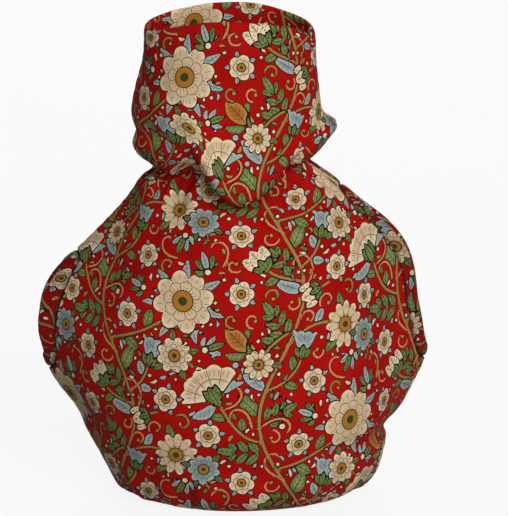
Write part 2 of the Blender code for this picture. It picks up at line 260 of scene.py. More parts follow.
def loop_point(opening, turn, offset):
    """(row number, y) on a loop round an opening: the hole's long oval moved outwards by offset.

    turn is 0 at the upper end and half a turn at the lower end, on the front. The oval is an ellipse with
    OVAL_POWER for its power of 2, and outwards is along its own normal.
    """
    middle, half, row_long = seam_span(opening)
    full = 2 / OVAL_POWER
    up, out = np.cos(turn), np.sin(turn)
    way = np.stack([rounded(up, 2 - full) / half, rounded(out, 2 - full) / opening.half_width], -1)
    way = way / np.linalg.norm(way, axis=-1, keepdims=True)
    along = half * rounded(up, full) + offset * way[..., 0]
    across = opening.half_width * rounded(out, full) + offset * way[..., 1]
    return middle + along / row_long, across


def angle_at(place, y, side, front):
    """The angle round the cloth at a distance y from the seam on that side."""
    turn = np.arcsin(np.clip(y / section_at(place)["front" if front else "back"], 0, 1))
    if side > 0:
        return TAU - turn if front else turn
    return math.pi + turn if front else math.pi - turn


# The print's repeat: its width and its height, and each column of it drops by half a height.
REPEAT_WIDE, REPEAT_HIGH = 92.0, 132.0
OUTLINE = 0.4
CARVE = 0.78  # clear cloth between two shapes of the print, which their outlines fill
LAYERS = ("stem", "curl", "green", "blue", "ochre", "cream")
LINE_LAYERS = ("stem", "curl")  # the colours of the thin lines
LINE_MIDDLE = 0.85  # half the width of the widest line
FAR_OUTSIDE = 30.0  # the distance that a point has from every colour before anything is drawn
COVERED = 0.1  # the print covers a point that lies this near a colour
NOTED = 0.8  # how far outside a shape a point still notes its place in it
MARK_ROUND, STEM_ROUND, VINE_ROUND = 2.5, 3.0, 5.0  # how far outside each of them points are worked out

# One shape of the print: its colour, its form, where its base or middle is, which way it points in degrees,
# its length or radius, its half width or how deep its petals part, and its number of petals.
Mark = namedtuple("Mark", "layer form x y turn long wide petals")

# What a motif is made of, from the back to the front: for each row its colour and form, how far ahead of
# the motif's own place its shapes start, which ways they point, how long they are, as shares of the
# motif's size, their half width or petals' notch, their petals, and millimetres more of length. The half
# width of a leaf or a bell is a share of its length. first and second are colours that the motif is given.
Part = namedtuple("Part", "layer form ahead turns long wide petals longer", defaults=[0, 0.0])
MOTIFS = {
    "anemone": [("blue", "leaf", 0.0, (30, 78, 130, 182, 234, 286, 335), 1.4, 0.11),
                ("cream", "flower", 0.0, (0,), 1.0, 0.34, 8)],
    "aster": [("green", "leaf", 0.5, (60, 140, 220, 300), 1.45, 0.15),
              ("cream", "flower", 0.5, (0,), 1.0, 0.36, 9)],
    "blue aster": [("green", "leaf", 0.5, (60, 140, 220, 300), 1.45, 0.15),
                   ("blue", "flower", 0.5, (0,), 1.0, 0.36, 9)],
    "daisy": [("green", "leaf", 0.6, (120, 240), 1.5, 0.15),
              ("cream", "flower", 0.6, (0,), 1.0, 0.4, 11)],
    "carnation": [("blue", "bent", -0.1, (-88, 88), 0.9, 0.16),
                  ("cream", "fan", -0.1, (0,), 1.0, 66.0, 13),
                  ("green", "leaf", -0.3, (-18, 18, 0), 0.62, 0.17)],
    "bell": [("blue", "bell", 0.0, (0,), 1.0, 0.48),
             ("green", "leaf", -0.1, (-38, 38, 0), 0.55, 0.2)],
    "pod": [("green", "bent", -0.1, (-52, 52), 0.95, 0.17),
            ("ochre", "leaf", -0.1, (0,), 1.25, 0.272)],
    "bud": [("cream", "leaf", -0.1, (-26, 26, 0), 1.05, 0.25),
            ("green", "leaf", -0.1, (-46, 46, 0), 0.55, 0.22)],
    "frond": [("green", "leaf", 0.16, (-50, 50), 0.36, 0.21),
              ("green", "leaf", 0.38, (-50, 50), 0.34, 0.21),
              ("green", "leaf", 0.60, (-50, 50), 0.28, 0.21),
              ("green", "leaf", 0.62, (0,), 0.4, 0.21)],
    "blossom": [("first", "leaf", 0.0, (36, 108, 180, 252, 324), 1.0, 0.15, 0, 2.6),
                ("second", "flower", 0.0, (0,), 1.0, 0.32, 5)],
    "palmette": [("first", "bent", -0.7, (-66, 66), 1.0, 0.17),
                 ("first", "leaf", -0.7, (-33, 33), 1.3, 0.15),
                 ("second", "leaf", -0.7, (0,), 1.55, 0.14),
                 ("cream", "flower", -0.7, (0,), 0.0, 0.0, 5, 1.5)],
    "hook": [("first", "hook", 0.0, (0,), 1.0, 0.5),
             ("second", "flower", 0.3, (0,), 0.0, 0.0, 5, 1.0)],
    "sprig": [("first", "bent", -0.8, (-34, 34), 1.35, 0.16),
              ("second", "leaf", -0.8, (0,), 1.6, 0.13)],
    "sliver": [("first", "bent", -1.0, (0,), 2.0, 0.21)],
}

# A stem: where it starts, its heading, its length, how it bends at its start and at its end in degrees for
# each millimetre, and its width.
Stem = namedtuple("Stem", "layer x y turn long bend_from bend_to width")
VINE_MIDDLE, VINE_SWING, VINE_WIDTH = 24.0, 12.0, 1.7
SPRAY_WIDTH, TENDRIL_WIDTH = 1.35, 1.1
SPRAY_LEAF_OFF, SPRAY_LEAF_WIDE = 50.0, 0.24  # degrees off the stem, and half its width over its length

# Tendrils: thin stems that curl up at their ends.
TENDRILS = [Stem("curl", *row, TENDRIL_WIDTH) for row in (
    (36.0, 33.0, 60.0, 30.0, -1.0, 15.0),
    (24.0, 66.0, 150.0, 24.0, 1.0, -17.0),
    (12.5, 96.0, 30.0, 22.0, 2.0, -17.0),
    (22.0, 128.0, 140.0, 22.0, -2.0, 18.0),
    (46.0, 74.0, 262.0, 16.0, 1.5, 19.0),
    (88.0, 40.0, 20.0, 20.0, 2.0, 18.0),
    (60.0, 118.0, 170.0, 20.0, -1.0, -18.0),
    (86.0, 114.0, 60.0, 20.0, 1.0, 18.0),
    (100.0, 30.0, 95.0, 18.0, 1.0, 17.0),
)]

# Sprays that grow from the vine: the stem's columns, then the motif that heads it, that one's size, how
# many leaves the stem bears, and their colour and length.
Spray = namedtuple(
    "Spray", "x y turn long bend_from bend_to head size leaves layer leaf", defaults=[0, None, 0.0])
SPRAYS = [Spray(*row) for row in (
    (21.5, 72.0, 12.0, 50.0, 0.2, 1.5, "anemone", 16.5, 3, "green", 11.0),
    (104.0, 22.0, 170.0, 34.0, -3.6, 0.8, "carnation", 19.0, 2, "green", 9.0),
    (27.0, 6.0, 48.0, 30.0, -1.6, -2.6, "daisy", 12.0, 2, "blue", 9.0),
    (34.0, 46.0, 22.0, 20.0, 3.6, 1.6, "bell", 14.0, 2, "blue", 9.0),
    (115.0, 62.0, 160.0, 20.0, 0.6, -3.2, "pod", 13.0, 2, "green", 9.0),
    (127.0, 104.0, 160.0, 21.0, 2.2, -5.0, "bud", 14.0, 2, "green", 8.5),
    (18.0, 116.0, 20.0, 24.0, 1.0, 4.0, "bell", 13.0, 2, "green", 9.0),
    (119.0, 78.0, 205.0, 17.0, 1.5, 2.5, "daisy", 8.0, 1, "green", 8.0),
    (70.0, 62.0, 150.0, 6.0, 1.0, 1.0, "aster", 9.5),
    (78.0, 128.0, 100.0, 6.0, 1.0, 1.0, "blue aster", 8.5),
    (50.0, 36.0, 200.0, 6.0, 1.0, 1.0, "bud", 12.0),
)]

# Leaves on the main vine: the height they spring from, which side, their angle off the vine, what they
# are, their length, and a plain leaf's colour and half width.
VineLeaf = namedtuple("VineLeaf", "height side off form long layer wide", defaults=[None, None])
VINE_LEAVES = [VineLeaf(*row) for row in (
    (8.0, -1, 62.0, "frond", 25.0),
    (33.0, -1, 70.0, "leaf", 17.0, "blue", 3.2),
    (44.0, -1, 40.0, "frond", 24.0),
    (56.0, 1, 52.0, "leaf", 15.0, "green", 3.6),
    (81.0, -1, 62.0, "frond", 26.0),
    (98.0, 1, 66.0, "frond", 22.0),
    (102.0, -1, 48.0, "leaf", 16.0, "green", 3.8),
    (115.0, -1, 66.0, "leaf", 18.0, "blue", 3.4),
)]

# What fills the bare ground: the least room each needs round it, how much of it stays clear, how large it
# grows, and its two colours, in turns.
Filling = namedtuple("Filling", "form least clear most layers")
PLAIN_TURNS = [(layer, "cream") for layer in ("blue", "cream", "ochre", "blue", "cream", "green", "ochre")]
FILLINGS = [
    Filling("blossom", 8.8, 2.4, 7.0, (("blue", "cream"),)),
    Filling("palmette", 6.8, 0.4, 8.5, (("green", "blue"), ("blue", "green"), ("blue", "green"))),
    Filling("hook", 4.3, 0.6, 6.0, (("stem", "ochre"), ("curl", "ochre"), ("curl", "ochre"))),
    Filling("sprig", 3.5, 0.5, 7.0, (("green", "blue"), ("cream", "green"), ("blue", "cream"))),
    Filling("pair", 2.7, 0.5, 7.0, PLAIN_TURNS),
    Filling("sliver", 2.2, 0.3, 7.0, PLAIN_TURNS),
]
DOT_CLEAR, DOT_MOST = 0.6, 1.5  # a dot stands for each third sliver
FILLING_TURN = 137.5  # degrees from one filling's heading to the next one's
GROUND_STEP, GROUND_SLICES = 1.5, 24  # how finely bare ground is looked for, and in how many goes
MOST_ROOM, MOST_FILLINGS, FILLED_SHARE = 9.0, 150, 1.06


def vine_at(height):
    """(x, heading in degrees) of the main vine: a sine across the repeat, once over its height."""
    phase = TAU * height / REPEAT_HIGH
    slope = VINE_SWING * TAU / REPEAT_HIGH * np.cos(phase)
    return VINE_MIDDLE + VINE_SWING * np.sin(phase), np.degrees(np.arctan2(1.0, slope))


def stem_line(stem, count=22):
    """Points and headings along a stem: its heading turns by a bend that grows evenly along it."""
    along = np.linspace(0, stem.long, count)
    more_bend = (stem.bend_to - stem.bend_from) * along**2 / (2 * stem.long)
    turn = stem.turn + stem.bend_from * along + more_bend
    way = np.radians((turn[1:] + turn[:-1]) / 2)
    step = stem.long / (count - 1)
    x, y = (np.append(0.0, np.cumsum(part(way) * step)) for part in (np.cos, np.sin))
    return stem.x + x, stem.y + y, turn


def ahead(x, y, turn, far, aside=0.0):
    """The point that lies far along a heading from (x, y), and aside to its left."""
    way = math.radians(turn)
    return x + far * math.cos(way) - aside * math.sin(way), y + far * math.sin(way) + aside * math.cos(way)


def motif(name, x, y, turn, size, first=None, second=None):
    """The shapes of a motif, from the back to the front."""
    given, marks = {"first": first, "second": second}, []
    for part in (Part(*row) for row in MOTIFS[name]):
        at = ahead(x, y, turn, part.ahead * size)
        long = part.long * size + part.longer
        wide = part.wide * (long if part.form in ("leaf", "bent", "bell") else 1.0)
        layer = given.get(part.layer, part.layer)
        for way in part.turns:
            marks.append(Mark(layer, part.form, *at, turn + way, long, wide, part.petals))
    return marks


def filling_marks(filling, x, y, room, number):
    """A small thing set in bare ground, as large as its room: its heading and colours go by its number."""
    turn = number * FILLING_TURN % 360
    size = min(room - filling.clear, filling.most)
    first, second = filling.layers[number % len(filling.layers)]
    if filling.form == "pair":
        long, at = 1.75 * size, ahead(x, y, turn, 0.35 * size, -0.55 * size)
        leaf = Mark(first, "bent", *ahead(x, y, turn, -size, 0.9), turn + 12, long, long * 0.15, 0)
        return [leaf, Mark(second, "flower", *at, 0.0, 0.34 * size, 0.0, 5)]
    if filling.form == "sliver" and number % 3 == 0:
        return [Mark(first, "flower", x, y, 0.0, min(size - DOT_CLEAR, DOT_MOST), 0.0, 5)]
    return motif(filling.form, x, y, turn, size, first, second)


def growth():
    """(leaves, stems, heads) of one repeat, from the back to the front."""
    leaves, stems, heads = [], [], []
    for leaf in VINE_LEAVES:
        x, heading = vine_at(leaf.height)
        turn = heading - leaf.side * leaf.off
        if leaf.form == "frond":
            leaves.extend(motif("frond", x, leaf.height, turn, leaf.long))
        else:
            leaves.append(Mark(leaf.layer, "leaf", x, leaf.height, turn, leaf.long, leaf.wide, 0))
    for spray in SPRAYS:
        stem = Stem("stem", *spray[:6], SPRAY_WIDTH)
        stems.append(stem)
        x, y, turn = stem_line(stem)
        for number in range(spray.leaves):
            at = int(round((number + 0.8) / (spray.leaves + 0.9) * (len(x) - 1)))
            way = turn[at] + (SPRAY_LEAF_OFF if number % 2 else -SPRAY_LEAF_OFF)
            wide = spray.leaf * SPRAY_LEAF_WIDE
            leaves.append(Mark(spray.layer, "leaf", x[at], y[at], way, spray.leaf, wide, 0))
        heads.extend(motif(spray.head, x[-1], y[-1], turn[-1], spray.size))
    return leaves, TENDRILS + stems, heads


def nearest_repeat(u, v, x, y):
    """(across, up) from a point of the repeat to each point of the cloth, to its nearest copy."""
    across = u - x
    column = np.round(across / REPEAT_WIDE)
    across = across - column * REPEAT_WIDE
    up = v - y - column * REPEAT_HIGH / 2
    return across, up - np.round(up / REPEAT_HIGH) * REPEAT_HIGH


# The forms: how far a bent leaf bows, how narrow a flower's notches are, how deep a fan's teeth go, how far
# round a hook winds and how near its middle it starts, and how narrow a bell's neck is, where its lip
# starts, how far that flares and how deep its scallops are. The slopes keep their outlines even.
LEAF_BOW, NOTCH_POWER, FAN_TEETH = 0.75, 0.6, 0.10
HOOK_SWEEP, HOOK_START = 0.75 * TAU, 0.3
BELL_NECK, BELL_LIP_FROM, BELL_FLARE, BELL_SCALLOP = 0.32, 0.85, 1.1, 1.3
FLOWER_SLOPE, BELL_SLOPE = 0.88, 0.92


def hook_offset(mark, p, q):
    """How far outside a hook's line a point is: its radius grows evenly as it winds, to the hook's size."""
    wound = np.mod(np.arctan2(q, p), TAU) / HOOK_SWEEP
    return np.hypot(p, q) - mark.long * (HOOK_START + (1 - HOOK_START) * wound)


def mark_depth(mark, p, q):
    """Distance outside a shape, less than 0 inside it, from p along it and q across it.

    A leaf is a pointed oval of two arcs, bent sideways for a bent one. A flower is a circle whose radius
    falls to a notch between petals. A fan is a slice of a circle with a toothed end, a bell widens
    smoothly to a scalloped lip, and a hook is a line that winds outwards three quarters of the way round.
    """
    if mark.form in ("leaf", "bent"):
        if mark.form == "bent":
            along = np.clip(p, 0, mark.long)
            q = q - LEAF_BOW * along * (1 - along / mark.long)
        radius = (mark.long**2 / 4 + mark.wide**2) / (2 * mark.wide)
        return np.hypot(p - mark.long / 2, np.abs(q) + radius - mark.wide) - radius
    if mark.form == "flower":
        between = 1 - np.abs(np.cos(mark.petals * np.arctan2(q, p) / 2)) ** NOTCH_POWER
        return (np.hypot(p, q) - mark.long * (1 - mark.wide * between)) * FLOWER_SLOPE
    if mark.form == "fan":
        far, turn = np.hypot(p, q), np.arctan2(q, p)
        teeth = FAN_TEETH * (1 - np.abs(np.cos(mark.petals * turn / 2)))
        side = far * np.sin(np.clip(np.abs(turn) - math.radians(mark.wide), -1.5, 1.5))
        return np.maximum(far - mark.long * (1 - teeth), side)
    if mark.form == "hook":
        tips = np.minimum(np.hypot(p - HOOK_START * mark.long, q), np.hypot(p, q + mark.long))
        on_sweep = np.mod(np.arctan2(q, p), TAU) <= HOOK_SWEEP
        return np.minimum(np.where(on_sweep, np.abs(hook_offset(mark, p, q)), tips), tips) - mark.wide
    share = np.clip(p / mark.long, 0, 1)
    widening = mark.wide * (BELL_NECK + (1 - BELL_NECK) * share * share * (3 - 2 * share))
    half = widening + BELL_FLARE * np.maximum(share - BELL_LIP_FROM, 0) / (1 - BELL_LIP_FROM)
    lip = BELL_SCALLOP * np.abs(np.sin(1.5 * math.pi * q / mark.wide))
    return np.maximum(np.maximum(np.abs(q) - half, -p), p - mark.long + BELL_SCALLOP - lip) * BELL_SLOPE


def stem_depth(line, width, across, up):
    """(distance outside a stem, side of it), by the nearest piece of its middle line and half its width."""
    nearest, side = np.full(across.shape, 1e9), np.ones(across.shape)
    for x0, y0, x1, y1 in zip(line[0][:-1], line[1][:-1], line[0][1:], line[1][1:]):
        long, high = x1 - x0, y1 - y0
        way = np.clip(((across - x0) * long + (up - y0) * high) / (long**2 + high**2), 0, 1)
        apart = np.hypot(across - x0 - way * long, up - y0 - way * high)
        side = np.where(apart < nearest, np.sign(long * (up - y0) - high * (across - x0)), side)
        nearest = np.minimum(nearest, apart)
    return nearest - width / 2, side


class Drawing:
    """The print over some points of the flat cloth: how far outside each colour's shapes each point is, and
    where it is in its own shape, which the material draws its veins and petals by."""

    def __init__(self, u, v, leaves, stems, heads):
        self.u, self.v = np.asarray(u, float).ravel(), np.asarray(v, float).ravel()
        self.fields = {name: np.full(len(self.u), FAR_OUTSIDE) for name in LAYERS}
        self.sides = {name: np.ones(len(self.u)) for name in LINE_LAYERS}
        self.motif = np.zeros((len(self.u), 3))
        for mark in leaves:
            self.draw_mark(mark)
        for stem in stems:
            self.draw_stem(stem)
        self.draw_vine()
        for mark in heads:
            self.draw_mark(mark)

    def lay(self, layer, chosen, depth, side=1.0):
        """Lays a shape over the print: it cuts back what it covers, then joins its own colour."""
        for field in self.fields.values():
            field[chosen] = np.maximum(field[chosen], CARVE - depth)
        own = self.fields[layer][chosen]
        if layer in LINE_LAYERS:
            self.sides[layer][chosen] = np.where(depth < own, side, self.sides[layer][chosen])
        self.fields[layer][chosen] = np.minimum(own, depth)

    def measures(self):
        """What each colour's attribute holds: its distance, or for the thin lines one from their middle.

        That one is more than 0 on one side and less on the other, so a line stays even between two points
        that lie further apart than it is wide. "lines" holds the plain distance to the nearest thin line.
        """
        found = dict(self.fields)
        found["lines"] = np.minimum(*(self.fields[layer] for layer in LINE_LAYERS))
        for layer, side in self.sides.items():
            found[layer] = side * (self.fields[layer] + LINE_MIDDLE)
        return found

    def draw_stem(self, stem):
        x, y, _ = stem_line(stem)
        middle = (x.min() + x.max()) / 2, (y.min() + y.max()) / 2
        reach = np.hypot(np.ptp(x), np.ptp(y)) / 2 + STEM_ROUND
        across, up = nearest_repeat(self.u, self.v, *middle)
        chosen = np.flatnonzero(np.hypot(across, up) < reach)
        line = (x - middle[0], y - middle[1])
        self.lay(stem.layer, chosen, *stem_depth(line, stem.width, across[chosen], up[chosen]))

    def draw_vine(self):
        across, up = nearest_repeat(self.u, self.v, VINE_MIDDLE, 0.0)
        x, heading = vine_at(up)
        aside = (across + VINE_MIDDLE - x) * np.sin(np.radians(heading))
        chosen = np.flatnonzero(np.abs(aside) < VINE_ROUND)
        self.lay("stem", chosen, np.abs(aside[chosen]) - VINE_WIDTH / 2, np.sign(aside[chosen]))

    def draw_mark(self, mark):
        """Draws a shape, and notes for its points where they are in it and its petals and size as one number.

        That is the petals and a hundredth of the size, with a minus for a fan, or 0 for a leaf.
        """
        across, up = nearest_repeat(self.u, self.v, mark.x, mark.y)
        chosen = np.flatnonzero(np.hypot(across, up) < mark.long * 1.1 + MARK_ROUND)
        across, up, way = across[chosen], up[chosen], math.radians(mark.turn)
        p = across * math.cos(way) + up * math.sin(way)
        q = up * math.cos(way) - across * math.sin(way)
        depth = mark_depth(mark, p, q)
        self.lay(mark.layer, chosen, depth, np.sign(hook_offset(mark, p, q)) if mark.form == "hook" else 1.0)
        kind = mark.petals + mark.long / 100 if mark.petals else 0.0
        near = depth < NOTED
        self.motif[chosen[near], :2] = np.stack([p, q], -1)[near]
        self.motif[chosen[near], 2] = -kind if mark.form == "fan" else kind


def bare_ground(drawing):
    """Room round each point of the drawing: its distance to the nearest point that the print covers."""
    covered = np.min(list(drawing.fields.values()), axis=0) < COVERED
    room = np.zeros(len(covered))
    u, v = drawing.u[covered], drawing.v[covered]
    for index in np.array_split(np.flatnonzero(~covered), GROUND_SLICES):
        across, up = nearest_repeat(drawing.u[index, None], drawing.v[index, None], u, v)
        room[index] = np.hypot(across, up).min(1)
    return room


def fillings(print_so_far):
    """Shapes for the bare ground of one repeat: each goes where there is most room, until there is none."""
    u, v = np.meshgrid(np.arange(0, REPEAT_WIDE, GROUND_STEP), np.arange(0, REPEAT_HIGH, GROUND_STEP))
    drawing = Drawing(u, v, *print_so_far)
    room, marks = bare_ground(drawing), []
    for number in range(MOST_FILLINGS):
        best = int(np.argmax(room))
        x, y, most = drawing.u[best], drawing.v[best], room[best]
        if most < FILLINGS[-1].least:
            break
        filling = next(f for f in FILLINGS if most >= f.least)
        marks.extend(filling_marks(filling, x, y, min(most, MOST_ROOM), number))
        across, up = nearest_repeat(drawing.u, drawing.v, x, y)
        room = np.minimum(room, np.hypot(across, up) - min(most, MOST_ROOM) * FILLED_SHARE)
    return marks


def whole_print():
    leaves, stems, heads = growth()
    return leaves, stems, heads + fillings((leaves, stems, heads))


PRINT = whole_print()


# Rows of a panel's cloth in each stretch from the hem to the mouth, and the columns across it.
ROWS_BELOW_NECK, ROWS_OF_ROLL, ROWS_OF_COLLAR = 202, 72, 58
COLUMNS_ACROSS, LINING_COLUMNS = 236, 190
CLOTH_GAP = 0.03  # between two cloths that a seam holds together
BAND_GAP = 0.7  # the open groove round a binding
STEP_ACROSS = 0.3  # what a step across counts for beside an opening, where one up counts for 1
PLACE_EASE, ANGLE_EASE = 3, 4  # how fast the rows and columns settle away from a panel's edges
HEM_TURN, MOUTH_TURN = 0.2, 0.08  # rows of the table that the rounds at the hem and the mouth take up
SEAM_ROLL = 1.0  # radius that the cloth turns in with at a seam
SEAM_TURNS = (90.0, 68.0, 46.0, 24.0)  # degrees of that turn at the columns next to a seam
SEAM_DEPTH, SEAM_DEPTH_SHARE = 2.9, 0.75  # how deep the cloth goes into a seam, and of its thickness at most
TURN_STEPS, TURN_ROWS = 8, 9  # rows over the rim of the mouth and down inside, and as many at the hem
TURNED_IN = 12.0  # cloth turned to the inside at the mouth and at the hem
HEM_ROW_LONG = 9.0  # millimetres of cloth in a row of the table at the hem
LINING_LAID_IN = 0.45  # how far the lining lies below the inner face
LINING_FROM, LINING_TO = 0.6, LAST_ROW - 0.4  # the rows of the table that the lining starts and ends at
COLLAR_TOP_V = 188.0  # the print's height at the mouth

# Slow waves of the cloth over its wadding: wavelength, direction in degrees, phase, and height.
WAVES = [
    (52.0, 20.0, 0.3, 0.34),
    (37.0, 100.0, 1.9, 0.28),
    (29.0, 62.0, 4.0, 0.20),
    (23.0, 148.0, 2.6, 0.16),
    (17.0, 8.0, 5.1, 0.10),
    (14.0, 83.0, 0.9, 0.08),
    (11.5, 125.0, 3.3, 0.05),
]
WAVE_REACH = 7.0  # the slow waves die out this near a seam
# Puckers at the seams: their wavelength, how far out they reach, where they start and how high they are,
# then how much a slower wave crowds them and its length over a turn, and how they slant away from the seam.
PUCKER_LENGTH, PUCKER_REACH, PUCKER_START, PUCKER_HEIGHT = 6.3, 5.5, 1.2, 0.14
PUCKER_CROWDING, PUCKER_SLOW, PUCKER_SLANT = 1.5, 17.0, 0.8
FINE_FULL_Z = 3.0  # the height that the finer folds reach their full height at
# Where the rim of the mouth dips: the angle in degrees, the half width in degrees, and how deep.
MOUTH_DIPS = [(352.0, 18.0, 8.5), (203.0, 27.0, 3.2)]


def lengths_along(points, axis):
    """Running length of the grid's lines along an axis, 0 at their start."""
    steps = np.linalg.norm(np.diff(points, axis=axis), axis=-1)
    first = np.zeros_like(np.take(steps, [0], axis=axis))
    return np.concatenate([first, np.cumsum(steps, axis=axis)], axis=axis)


def flat_pattern():
    """The panels' flat measures by row number and degree: (places, u of the front, u of the back, v).

    u is the length round the cosy from the middle of the panel. v is the length up the cloth from its
    widest turn, and above the neck the length down from the mouth, because the collar is cut upright.
    """
    neck = place_of(NECK_Z)
    places = np.concatenate([np.linspace(0, neck - 0.01, 260), np.linspace(neck + 0.01, LAST_ROW, 260)])
    points = plain_point(places[:, None], np.linspace(0, TAU, 361)[None, :])
    u, v = lengths_along(points, 1), lengths_along(points, 0)
    body = v - v[[int(np.argmin(np.abs(places - place_of(WIDEST_Z))))]]
    collar = v - v[[-1]] + COLLAR_TOP_V
    return places, u - u[:, [270]], u - u[:, [90]], np.where(places[:, None] < neck, body, collar)


PATTERN = flat_pattern()


def flat_measure(place, angle):
    """(u, v) on the flat cloth, read between the rows and columns of the pattern's table."""
    places, *grids = PATTERN
    row = np.clip(np.searchsorted(places, place, side="right") - 1, 0, len(places) - 2)
    up = np.clip((place - places[row]) / (places[row + 1] - places[row]), 0, 1)
    turn = np.clip(angle / TAU * 360, 0, 360 - 1e-6)
    column = turn.astype(int)
    aside = turn - column
    found = []
    for grid in grids:
        low = grid[row, column] * (1 - aside) + grid[row, column + 1] * aside
        high = grid[row + 1, column] * (1 - aside) + grid[row + 1, column + 1] * aside
        found.append(low * (1 - up) + high * up)
    front, back, v = found
    return np.where(np.sin(angle) < 0, front, back), v


def seam_distance(place, angle, v):
    """(how far a point of the cloth is from the nearest seam or binding, its place along that).

    Beside an opening the distance is that to the binding's outer oval, by the share that the point lies
    outside it, and beyond its ends it is the distance to the straight seam.
    """
    row = section_at(place)
    y = np.where(np.sin(angle) >= 0, row["back"], row["front"]) * np.abs(np.sin(angle))
    nearest = np.full(np.shape(y), 1e3)
    for opening in OPENINGS:
        middle, half, row_long = seam_span(opening)
        along = np.abs(place - middle) * row_long
        half = half + opening.band
        oval = (along / half) ** OVAL_POWER + (y / (opening.half_width + opening.band)) ** OVAL_POWER
        oval = oval ** (1 / OVAL_POWER)
        beside = (oval - 1) * np.hypot(along, y) / np.maximum(oval, 0.3)
        seam = np.where(along > half, y, np.hypot(y, half - along))
        apart = np.minimum(np.maximum(beside, 0), seam)
        nearest = np.where(np.cos(angle) * opening.side > 0, np.minimum(nearest, apart), nearest)
    return nearest, v + PUCKER_SLANT * y


def small_folds(place, angle):
    """The finer unevenness: slow waves, the pleats of the drawn-in neck and hem, and puckers at seams."""
    u, v = flat_measure(place, angle)
    z = section_at(place)["z"]
    total = np.zeros(np.shape(u))
    for length, way, phase, height in WAVES:
        way = math.radians(way)
        total = total + height * np.sin(TAU * (u * math.cos(way) + v * math.sin(way)) / length + phase)
    apart, along = seam_distance(place, angle, v)
    total = total * (1 - hill(apart, WAVE_REACH))
    total = drawn_in(total, PLEATS, z, angle)
    puckers = np.sin(TAU * along / PUCKER_LENGTH + PUCKER_CROWDING * np.sin(along / PUCKER_SLOW))
    fading = np.exp(-apart / PUCKER_REACH) * np.clip(apart / PUCKER_START, 0, 1)
    total = total + PUCKER_HEIGHT * puckers * fading
    return total * np.clip(z / FINE_FULL_Z, 0, 1)


def mouth_dip(place, angle):
    """How far the mouth's rim sinks at its two corners: a bell round the cloth, from nothing one row down."""
    total = sum(depth * bell(angle, middle, half_width) for middle, half_width, depth in MOUTH_DIPS)
    return total * np.clip(place - (LAST_ROW - 1), 0, 1) ** 1.5


def laid_cloth(place, angle, depth, rise):
    """A point of the cloth: below the outer face by depth, and moved up along it by rise at its edges.

    Folds lift it along the plain surface's normal, half as much at the inner face as at the outer one.
    """
    share = np.clip(depth / thickness(place), 0, 1)
    lift = (fold_height(place, angle) + small_folds(place, angle)) * (1 - INNER_CALM * share)
    up, out = plain_ways(place, angle)
    point = plain_point(place, angle) + (lift - depth)[..., None] * out + rise[..., None] * up
    point[..., 2] = np.maximum(point[..., 2] - mouth_dip(place, angle), 0)
    return point


def evenly(fine, length, count):
    """Values read from fine ones, an even share of their running length apart."""
    return np.interp(np.linspace(0, length[-1], count + 1), length, fine)


def even_places(low, high, count):
    """Row numbers from low to high, an even length of cloth apart on the middle of the front."""
    fine = np.linspace(low, high, 300)
    return evenly(fine, lengths_along(plain_point(fine, np.full(300, FRONT)), 0), count)


def loop_turns(opening, count):
    """Turns up one side of a loop, even steps apart, where a step across counts for less than one up."""
    fine = np.linspace(math.pi, 0, 400)
    place, across = loop_point(opening, fine, opening.band)
    step = np.abs(np.diff(place)) * seam_span(opening)[2] + STEP_ACROSS * np.abs(np.diff(across))
    return evenly(fine, np.append(0.0, np.cumsum(step)), count)


def middle_rows():
    """Row numbers up the middle of a panel, in three stretches with even lengths of cloth between them."""
    neck, foot = place_of(NECK_Z), place_of(COLLAR_FOOT_Z)
    return np.concatenate([
        even_places(HEM_TURN, neck, ROWS_BELOW_NECK)[:-1],
        even_places(neck, foot, ROWS_OF_ROLL)[:-1],
        even_places(foot, LAST_ROW - MOUTH_TURN, ROWS_OF_COLLAR),
    ])


def edge_of(opening, clear):
    """A line up the cloth at a distance from the seam and the binding: its row numbers and offsets.

    The rows that meet the two ends of the opening are the ones that are level with them in the middle.
    """
    rows = middle_rows()
    ends, _ = loop_point(opening, np.array([math.pi, 0.0]), opening.band + BAND_GAP)
    start, stop = np.searchsorted(rows, ends)
    turns = loop_turns(opening, stop - start)
    beside, offset = loop_point(opening, turns, opening.band + BAND_GAP + clear)
    places = np.concatenate([
        even_places(HEM_TURN, beside[0], start)[:-1],
        beside,
        even_places(beside[-1], rows[ROWS_BELOW_NECK], ROWS_BELOW_NECK - stop)[1:],
        rows[ROWS_BELOW_NECK + 1 :],
    ])
    offsets = np.full(len(places), CLOTH_GAP / 2 + clear)
    offsets[start : stop + 1] = np.maximum(offset, CLOTH_GAP / 2 + clear)
    return places, offsets


def seam_columns():
    """(distance from the seam, depth) of the columns that turn into it: a quarter round, then straight in."""
    turns = np.radians(SEAM_TURNS)
    clear = np.concatenate([[0.0], SEAM_ROLL * (1 - np.sin(turns)), [SEAM_ROLL]])
    depth = np.concatenate([[SEAM_DEPTH], SEAM_ROLL * (1 - np.cos(turns)), [0.0]])
    return clear, depth


